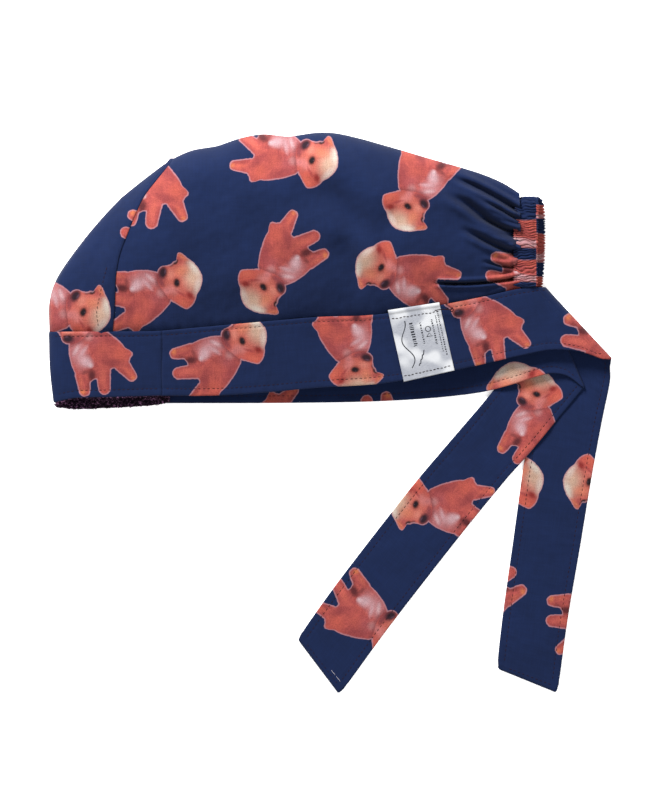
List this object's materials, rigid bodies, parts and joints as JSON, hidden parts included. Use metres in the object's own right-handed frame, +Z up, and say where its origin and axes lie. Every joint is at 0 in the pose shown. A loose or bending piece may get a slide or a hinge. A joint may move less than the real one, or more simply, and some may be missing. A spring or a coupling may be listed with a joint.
{
  "type": "surgical scrub cap",
  "caption": "Tie-back surgical scrub cap of printed cotton lying on its side, with forehead sweatband, gathered elastic back and two loose ties",
  "frame": {"origin": "middle of the footprint, on the surface that the cap lies on", "axes": "+Z up off the right side that the cap lies on, -X to the brow, +X to the gathered back, +Y to the top of the crown, -Y to the mouth and the ties"},
  "size_m": [0.3148, 0.314, 0.0282],
  "materials": {
    "printed_cotton": "matt plain-weave cotton, navy ground with a tossed animal print",
    "dark_terry": "looped dark plum towelling",
    "white_satin": "woven satin, soft sheen"
  },
  "bodies": {
    "root": {"crown": "printed_cotton", "forehead_band": "printed_cotton", "left_band_tie": "printed_cotton", "right_band_tie": "printed_cotton", "elastic_casing": "printed_cotton", "sweatband": "dark_terry", "label": "white_satin"}
  },
  "joints": []
}
